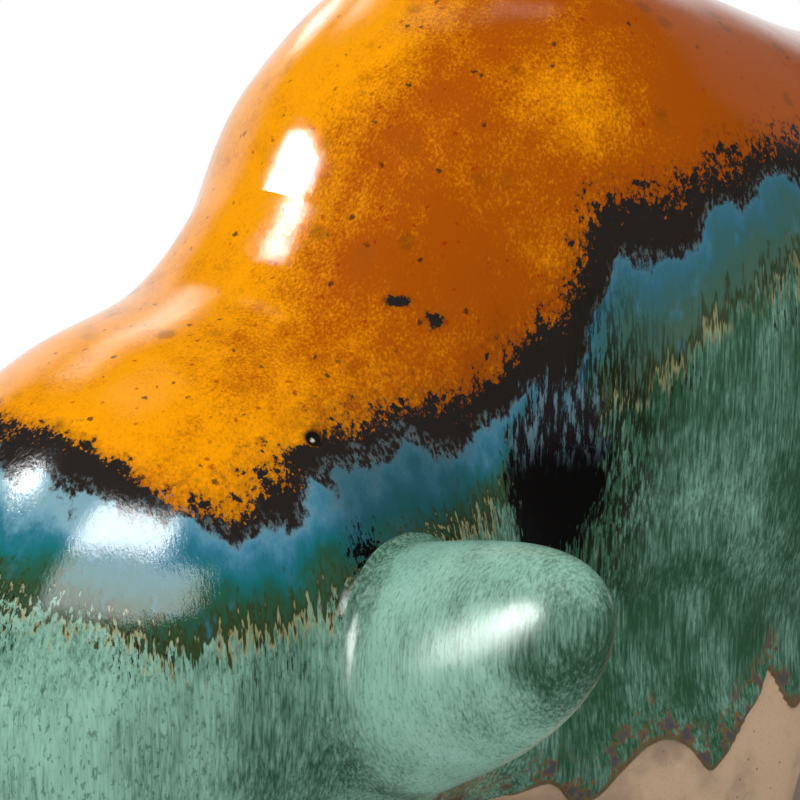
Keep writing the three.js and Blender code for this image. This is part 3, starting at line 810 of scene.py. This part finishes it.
    # A painted glint: a pale spot in the middle of the pinhole
    color = sheet.lay(color, (214, 208, 200), sheet.band(hole, 0.88, 0.97))
    sheet.feed(out["Color"], color)

    rough = sheet.lerp(sheet.band(green_fall, -2, 6), ORANGE_ROUGHNESS, GREEN_ROUGHNESS)
    sheet.feed(out["Roughness"], sheet.lerp(crystal, rough, CRYSTAL_ROUGHNESS))
    wave = sheet.spread(sheet.noise(7, 1, 2, 0.45, 2.2), 0.1)
    relief = sheet.sum(wave, sheet.spread(leaf["Streak"], 0.03), sheet.spread(stipple, 0.012))
    sheet.feed(out["Height"], sheet.sum(relief, sheet.spread(sheet.times(fleck, near), 0.1)))
    return tree


def buff_clay_group():
    """The bare fired clay: buff, clouded greyer and pinker, with a fine grain and scattered dark grit."""
    inputs = {"Place": "Vector", "Clay": "Color"}
    tree, sheet, given, out = node_group("buff clay", inputs, {"Color": "Color", "Height": "Float"})
    sheet.place = given["Place"]
    cloud = sheet.noise(14, 1, 3, 0.55, 2)
    grain = sheet.noise(0.5, 1, 3, 0.7, 6)
    color = sheet.lay(given["Clay"], (150, 128, 110), sheet.band(cloud, 0.45, 0.75))
    color = sheet.lay(color, (128, 100, 80), sheet.band(grain, 0.5, 0.8), 0.35)
    color = sheet.lay(color, (84, 64, 50), sheet.specks(sheet.place, 2.2, 0.3, 0.14, 5), 0.6)
    sheet.feed(out["Color"], color)
    sheet.feed(out["Height"], sheet.sum(sheet.spread(grain, 0.06), sheet.spread(cloud, 0.1)))
    return tree


def glaze_material(name, speckle, gloss=1.0):
    """Glaze above the drips and clay below them. The pour's colours come from the settings; its
    roughness is divided by the gloss."""
    s = settings()
    groups = bpy.data.node_groups
    if "poured glaze" not in groups:
        poured_glaze_group(orange_glaze_group(), green_glaze_group())
        buff_clay_group()
    material = bpy.data.materials.new(name)
    material.use_nodes = True
    shader = material.node_tree.nodes["Principled BSDF"]
    sheet = NodeSheet(material.node_tree)
    metres = sheet.add("ShaderNodeTexCoord", {}, "Object")
    place = sheet.add("ShaderNodeVectorMath", {0: metres, 3: 1 / MM}, operation="SCALE")
    values = {"place": place, "speckle": speckle}
    for key in GLAZE_COLORS:
        values[key] = getattr(s, key)
    for key in MASKS:
        values[key] = sheet.add("ShaderNodeAttribute", {}, "Fac", attribute_name=key)
    pour = sheet.group(groups["poured glaze"], values)
    clay = sheet.group(groups["buff clay"], {"Place": place, "Clay": s.clay})
    glazed = sheet.band(values["above_edge"], -0.25, 0.25)
    sheet.feed(shader.inputs["Base Color"], sheet.mix(glazed, clay["Color"], pour["Color"]))
    rough = sheet.math("DIVIDE", pour["Roughness"], gloss)
    sheet.feed(shader.inputs["Roughness"], sheet.lerp(glazed, CLAY_ROUGHNESS, rough))
    shader.inputs["Specular IOR Level"].default_value = SPECULAR_LEVEL
    height = sheet.lerp(glazed, clay["Height"], pour["Height"])
    bump = sheet.add("ShaderNodeBump", {"Distance": MM, "Strength": 1.0, "Height": height})
    sheet.feed(shader.inputs["Normal"], bump)
    return material


def settings():
    return bpy.context.scene.bull


class BullSettings(bpy.types.PropertyGroup):
    horn_fillet: FloatProperty(
        name="Horn fillet", description="Width over which a horn runs into the cheek, in millimetres",
        default=5, min=1, max=20)
    leg_fillet: FloatProperty(
        name="Leg fillet", description="Width over which a leg runs into the belly, in millimetres",
        default=14, min=1, max=30)
    tail_fillet: FloatProperty(
        name="Tail fillet", description="Width over which the tail runs into the rump, in millimetres",
        default=4, min=1, max=10)
    view_azimuth: FloatProperty(
        name="View azimuth", description="Where the camera stands round the figure",
        default=math.radians(-45), subtype="ANGLE")
    view_elevation: FloatProperty(
        name="View elevation", description="How high the camera stands above the horizon",
        default=math.radians(15), subtype="ANGLE")
    view_distance: FloatProperty(
        name="View distance", description="From the camera to the aimed point", default=0.52, unit="LENGTH")
    view_width: FloatProperty(
        name="View width", description="Width of the picture at the aimed point",
        default=0.12, unit="LENGTH")
    orange_bright: FloatVectorProperty(
        name="Bright orange", description="Orange glaze where it lies thin", subtype="COLOR",
        default=paint(248, 158, 0), min=0, max=1)
    # The deep orange is also the colour that the painted shade darkens the orange towards
    orange_deep: FloatVectorProperty(
        name="Deep orange", description="Orange glaze where it burnt darker", subtype="COLOR",
        default=paint(168, 78, 2), min=0, max=1)
    band_black: FloatVectorProperty(
        name="Black band", description="Black below the orange", subtype="COLOR",
        default=paint(39, 34, 31), min=0, max=1)
    turquoise: FloatVectorProperty(
        name="Turquoise", description="Clouds in the band below the black", subtype="COLOR",
        default=paint(70, 132, 158), min=0, max=1)
    green_pale: FloatVectorProperty(
        name="Pale green", description="Celadon green where it lies thin", subtype="COLOR",
        default=paint(146, 194, 174), min=0, max=1)
    # The deep green is also the colour that the painted shade deepens the green towards
    green_deep: FloatVectorProperty(
        name="Deep green", description="Celadon green where it ran thick", subtype="COLOR",
        default=paint(44, 84, 58), min=0, max=1)
    clay: FloatVectorProperty(
        name="Clay", description="Bare fired clay", subtype="COLOR",
        default=paint(206, 174, 142), min=0, max=1)


def torso_piece(name, stations, rows, cols, slot):
    """One half of the hollow form: rings of the body settled against its neighbours, and dived by
    the cube of the way past the neck so that the head and body cross there without a seam. The
    points of a ring stand closer together on the left upper side, by a sine of their angle."""
    s = settings()
    t = even_stations(*stations, rows)[:, None]
    a = turns(cols)[None]
    a = a - CROWDING * np.sin(a - CROWDED_SIDE)
    t, a = np.broadcast_arrays(t, a)
    p, w = body_points(t, a), body_ways(t, a)
    others = [(tail_distance, s.tail_fillet)]
    for side in (-1, 1):
        others.append((partial(horn_distance, side=side), s.horn_fillet))
        for leg in (FRONT_LEG, REAR_LEG):
            others.append((partial(leg_distance, side=side, leg=leg), s.leg_fillet))
    p = settle(p, w, others)
    inner = np.where(stations[1] > NECK_STATION + 1, NECK_STATION - t, t - NECK_STATION)
    past = np.maximum(inner, 0) / NECK_STEP
    p = p - w * (NECK_DIVE * past**3)[..., None]
    p, values = glaze_and_clay(p, w)
    ends = [p[0].mean(axis=0), p[-1].mean(axis=0)]
    if stations[0] < 1:
        ends[0] = body_points(0.0, 0.0)
    if stations[1] > LAST_STATION - 1:
        ends[1] = body_points(float(LAST_STATION), 0.0)
    mesh = closed_mesh(name, p, ends[0], ends[1], values)
    put(name + "_glazed", mesh, slot, glaze_material(name + " glaze", 0.6), name + "_shell")


class BULL_OT_body(bpy.types.Operator):
    """Make the glazed body with its hump"""

    bl_idname = "bull.make_body"
    bl_label = "Make body"

    def execute(self, context):
        stations = (NECK_STATION - NECK_OVERLAP, LAST_STATION - POLE_MARGIN / 3)
        torso_piece("body", stations, 250, 390, "body_glaze")
        return {"FINISHED"}


class BULL_OT_head(bpy.types.Operator):
    """Make the glazed head"""

    bl_idname = "bull.make_head"
    bl_label = "Make head"

    def execute(self, context):
        torso_piece("head", (POLE_MARGIN / 3, NECK_STATION + NECK_OVERLAP), 230, 420, "head_glaze")
        return {"FINISHED"}


class BULL_OT_horns(bpy.types.Operator):
    """Make the two horns"""

    bl_idname = "bull.make_horns"
    bl_label = "Make horns"

    def execute(self, context):
        material = glaze_material("horn glaze", 0.35, 0.65)
        s = HORN_WHOLE * np.sin(np.linspace(0.03, math.pi / 2, 120)[:-1])
        a = turns(160)
        for label, side in (("left", -1), ("right", 1)):
            centre, across, up = horn_frames(s, side)
            wide, high = (half[:, None, None] for half in horn_halves(s))
            cosine, sine = np.cos(a)[None, :, None], np.sin(a)[None, :, None]
            p = centre[:, None] + across[:, None] * wide * cosine + up[:, None] * high * sine
            w = unit(across[:, None] * cosine / wide + up[:, None] * sine / high)
            p = settle(p, w, [(body_distance, settings().horn_fillet)])
            name = label + "_horn"
            values = {key: np.full(p.shape[:2], value) for key, value in ALL_GREEN.items()}
            # Painted shade on the horn: darkest below its tip, with a little painted light elsewhere,
            # taking over from the head's towards the tip
            shade_spot = np.array(HORN_SHADE_SPOT[:3]) * (1, -side, 1)
            shade_spot = 0.85 * bell(np.linalg.norm(p - shade_spot, axis=-1), 0, HORN_SHADE_SPOT[3]) - 0.1
            root = glaze_falls(p)["burn"]
            values["burn"] = root + (shade_spot - root) * smoothstep(np.abs(p[..., 1]), *HORN_SHADE_RUN)
            mesh = closed_mesh(name, p, centre[0], horn_centre(HORN_WHOLE, side), values)
            put(name + "_glazed", mesh, "horn_glaze", material, name)
        return {"FINISHED"}


class BULL_OT_legs(bpy.types.Operator):
    """Make the four legs"""

    bl_idname = "bull.make_legs"
    bl_label = "Make legs"

    def execute(self, context):
        material = glaze_material("leg glaze and clay", 0.6)
        a = turns(230)[None]
        along, across = superellipse(a, LEG_SQUARENESS)
        for label, side in (("left", -1), ("right", 1)):
            for part, leg in (("front", FRONT_LEG), ("rear", REAR_LEG)):
                x, y, _length, _width, belly = leg
                round_sole = SOLE_ROUNDING * (1 - np.cos(np.linspace(0, math.pi / 2, 7)))
                shank = np.linspace(SOLE_ROUNDING, belly + LEG_TOP_INSIDE - 4, 120)[1:]
                z = np.append(round_sole, shank)[:, None]
                half_long, half_wide, lean = leg_sizes(z, leg)
                u, v = half_long * along, half_wide * across
                p = np.stack([x + FIGURE_SHIFT + u, side * (y - lean) + v, z + 0 * a], -1)
                w = unit(np.stack([u, v, 0 * u], -1))
                p = settle(p, w, [(body_distance, settings().leg_fillet)])
                p, values = glaze_and_clay(p, w)
                name = f"{label}_{part}_leg"
                sole = np.array([x + FIGURE_SHIFT, side * y, 0.0])
                mesh = closed_mesh(name, p, sole, p[-1].mean(axis=0), values)
                put(name + "_clay", mesh, "leg_glaze_and_clay", material, name)
        return {"FINISHED"}


class BULL_OT_tail(bpy.types.Operator):
    """Make the tail with its tuft"""

    bl_idname = "bull.make_tail"
    bl_label = "Make tail"

    def execute(self, context):
        line = tail_line(140)
        k = np.linspace(0, 1, len(line))[1:-1]
        line, ends = line[1:-1], (line[0], line[-1])
        a = turns(64)
        tangent = unit(np.gradient(line, axis=0))
        across = np.array([0.0, 1, 0])
        up = unit(np.cross(tangent, across))
        w = across[None, None] * np.cos(a)[None, :, None] + up[:, None] * np.sin(a)[None, :, None]
        p = line[:, None] + w * tail_radius(k)[:, None, None]
        p = settle(p, w, [(body_distance, settings().tail_fillet)])
        p, values = glaze_and_clay(p, w, bare=False)
        mesh = closed_mesh("tail", p, ends[0], ends[1], values)
        put("tail_glazed", mesh, "tail_glaze", glaze_material("tail glaze", 0.6), "tail")
        return {"FINISHED"}


def toward(azimuth, elevation):
    """Unit way of a direction: azimuth runs from -Y round by +X, elevation up from the floor."""
    level = math.cos(elevation)
    return Vector((math.sin(azimuth) * level, -math.cos(azimuth) * level, math.sin(elevation)))


def aim(thing, eye, target):
    thing.location = eye
    thing.rotation_euler = (Vector(eye) - Vector(target)).to_track_quat("Z", "Y").to_euler()


# Lamps round the figure: azimuth and elevation seen from the middle of the picture, distance, width
# and height in metres, turn about the line of sight in degrees, brightness of the face, and the
# pieces that mirror the lamp. A lamp with no pieces lights everything softly and isn't mirrored.
# The places, sizes and turns of most mirrored lamps were found by a trial program, which searched for
# lamps whose images cover outlines drawn round the highlights; some sizes were then changed
LAMPS = {
    "window": (-148.7, 45.5, 0.08, 0.0175, 0.0138, 9, 32, ("body",)),
    "window foot": (-142, 45, 1.1, 0.16, 0.085, 20, 55, ("head",)),
    "back strip": (148, 29, 1.1, 0.66, 0.075, 33, 4.5, ("body", "head")),
    "back corner": (156, 19, 1.1, 0.2, 0.096, 40, 4, ("body",)),
    "roof panel": (168, 62.7, 1.1, 0.09, 0.38, -1, 0.7, ("body", "head")),
    "roof edge": (110, 75.6, 0.3, 0.086, 0.016, 5, 2.5, ("body",)),
    "head panel": (-69.5, 30.5, 0.12, 0.073, 0.027, -2, 24, ("head",)),
    "head screen": (-61, 15, 0.12, 0.122, 0.03, -9, 8, ("head",)),
    "side haze": (92, 28, 1.1, 1.0, 0.4, 0, 0.2, ("body",)),
    "horn panel": (-119, -14, 0.25, 0.22, 0.085, 0, 13, ("left_horn", "right_horn")),
    "horn spot": (-103, 1, 0.25, 0.1, 0.075, -46, 34, ("left_horn", "right_horn")),
    "key": (-92, 54, 1.1, 1.03, 1.03, 0, 2.3, ()),
    "fill": (15, 40, 1.1, 1.27, 1.03, 0, 0.35, ()),
}
# A lamp nearer than this, in metres, has a fan of light, so that it isn't mirrored at the far rims
NEAR = 0.1
NEAR_SPREAD = math.radians(100)
# Middle of the picture, and width of the camera's sensor in millimetres
TARGET = Vector((-0.0489, -0.0196, 0.105))
SENSOR = 36
# The white wall that the glaze mirrors: its direction, the height of its top edge as a sine, and
# how much that edge sinks towards the front
WALL_AZIMUTH = math.radians(165)
WALL_TOP = 0.43
WALL_SINK = 0.28
# Strengths of the world's light and of what the glaze mirrors of the rest of room and floor
ROOM_LIGHT = 0.55
DIM_ROOM = 0.05
DIM_FLOOR = 0.06
# Half width of the floor, how far it lies below the soles, and where it fades to white, in metres
FLOOR_HALF = 4
FLOOR_SINK = 0.0002
WHITE_RADIUS = (0.2, 0.36)


def studio_world():
    """White where the camera looks. The glaze mirrors it white low behind the figure, and dim above
    and before it, as in a room with a white wall on one side."""
    world = bpy.data.worlds.new("studio")
    world.use_nodes = True
    sheet = NodeSheet(world.node_tree)
    path = sheet.add("ShaderNodeLightPath", {}).node.outputs
    way = sheet.add("ShaderNodeTexCoord", {}, "Generated")
    back = sheet.band(sheet.along(way, toward(WALL_AZIMUTH, 0)), 0.5, 0.75)
    rise = sheet.along(way, toward(WALL_AZIMUTH + math.pi / 2, 0) * WALL_SINK + Vector((0, 0, 1)))
    mirrored = sheet.times(back, sheet.band(rise, WALL_TOP + 0.03, WALL_TOP - 0.04))
    strength = sheet.lerp(path["Is Glossy Ray"], ROOM_LIGHT, sheet.lerp(mirrored, DIM_ROOM, 1.0))
    strength = sheet.lerp(path["Is Camera Ray"], strength, 1.0)
    background = world.node_tree.nodes["Background"]
    sheet.feed(background.inputs["Color"], (1, 1, 1))
    sheet.feed(background.inputs["Strength"], strength)
    return world


def floor_material():
    """Pale floor that takes the figure's shadow and, for the camera, fades to white by the radius.
    The glaze mirrors it white behind the figure and dim before it."""
    material = bpy.data.materials.new("pale floor")
    material.use_nodes = True
    tree = material.node_tree
    sheet = NodeSheet(tree)
    shader = tree.nodes["Principled BSDF"]
    sheet.feed(shader.inputs["Base Color"], (0.8, 0.8, 0.8))
    sheet.feed(shader.inputs["Roughness"], 0.9)
    place = sheet.add("ShaderNodeTexCoord", {}, "Object")
    radius = sheet.add("ShaderNodeVectorMath", {0: place}, 1, operation="LENGTH")
    path = sheet.add("ShaderNodeLightPath", {}).node.outputs
    seen = sheet.sum(path["Is Camera Ray"], path["Is Glossy Ray"])
    reach = sheet.sum(sheet.band(radius, *WHITE_RADIUS), path["Is Glossy Ray"])
    white = sheet.times(sheet.math("MINIMUM", reach, 1.0), seen)
    behind = sheet.band(sheet.along(place, toward(WALL_AZIMUTH, 0)), 0.1, 0.3)
    strength = sheet.lerp(path["Is Camera Ray"], sheet.lerp(behind, DIM_FLOOR, 1.0), 1.0)
    glow = sheet.add("ShaderNodeEmission", {"Color": (1, 1, 1), "Strength": strength})
    blend = sheet.add("ShaderNodeMixShader", {0: white, 1: shader.outputs[0], 2: glow})
    sheet.feed(tree.nodes["Material Output"].inputs["Surface"], blend)
    return material


def hang_lamp(name, azimuth, elevation, distance, wide, high, turn, brightness, mirrored_by):
    """Hangs one lamp of the list. A flat lamp's face shines with its power over its area and pi."""
    lamp = bpy.data.lights.new(name, "AREA")
    lamp.shape = "RECTANGLE"
    lamp.size, lamp.size_y = wide, high
    lamp.spread = NEAR_SPREAD if distance < NEAR else math.pi
    lamp.energy = brightness * lamp.size * lamp.size_y * math.pi
    thing = bpy.data.objects.new(name, lamp)
    bpy.context.scene.collection.objects.link(thing)
    aim(thing, TARGET + toward(math.radians(azimuth), math.radians(elevation)) * distance, TARGET)
    thing.rotation_euler.rotate_axis("Z", math.radians(turn))
    thing.visible_camera = False
    thing.visible_diffuse = not mirrored_by
    thing.visible_glossy = bool(mirrored_by)
    if mirrored_by:
        pieces = bpy.data.collections.new(name)
        for piece in mirrored_by:
            pieces.objects.link(bpy.data.objects[piece + "_glazed"])
        thing.light_linking.receiver_collection = pieces


class BULL_OT_stage(bpy.types.Operator):
    """Set the floor, the lights and the camera"""

    bl_idname = "bull.set_stage"
    bl_label = "Set stage"

    def execute(self, context):
        s = settings()
        scene = context.scene
        mesh = bpy.data.meshes.new("floor")
        corners = ((-1, -1), (1, -1), (1, 1), (-1, 1))
        mesh.from_pydata([(x * FLOOR_HALF, y * FLOOR_HALF, 0) for x, y in corners], [], [(0, 1, 2, 3)])
        floor = bpy.data.objects.new("floor", mesh)
        scene.collection.objects.link(floor)
        floor.location.z = -FLOOR_SINK
        mesh.materials.append(floor_material())
        scene.world = studio_world()
        for name, row in LAMPS.items():
            hang_lamp(name, *row)
        camera = bpy.data.objects.new("camera", bpy.data.cameras.new("camera"))
        scene.collection.objects.link(camera)
        scene.camera = camera
        aim(camera, TARGET + toward(s.view_azimuth, s.view_elevation) * s.view_distance, TARGET)
        camera.data.sensor_width = SENSOR
        camera.data.lens = SENSOR * s.view_distance / s.view_width
        camera.data.clip_start = 0.01
        scene.view_settings.view_transform = "Standard"
        return {"FINISHED"}


class BULL_PT_panel(bpy.types.Panel):
    """Sizes and colours of the bull, and a button for each piece"""

    bl_label = "Ceramic bull"
    bl_idname = "BULL_PT_panel"
    bl_space_type = "VIEW_3D"
    bl_region_type = "UI"
    bl_category = "Bull"

    def draw(self, context):
        for key in BullSettings.__annotations__:
            self.layout.prop(context.scene.bull, key)
        for operator in MAKERS:
            self.layout.operator(operator.bl_idname)


MAKERS = (BULL_OT_body, BULL_OT_head, BULL_OT_horns, BULL_OT_legs, BULL_OT_tail, BULL_OT_stage)
CLASSES = (BullSettings, *MAKERS, BULL_PT_panel)


def register():
    for item in CLASSES:
        bpy.utils.register_class(item)
    bpy.types.Scene.bull = PointerProperty(type=BullSettings)


def unregister():
    del bpy.types.Scene.bull
    for item in reversed(CLASSES):
        bpy.utils.unregister_class(item)


def main():
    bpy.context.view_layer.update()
    register()
    bpy.ops.bull.make_body()
    bpy.ops.bull.make_head()
    bpy.ops.bull.make_horns()
    bpy.ops.bull.make_legs()
    bpy.ops.bull.make_tail()
    bpy.ops.bull.set_stage()
    bpy.context.view_layer.update()


if __name__ == "__main__":
    main()
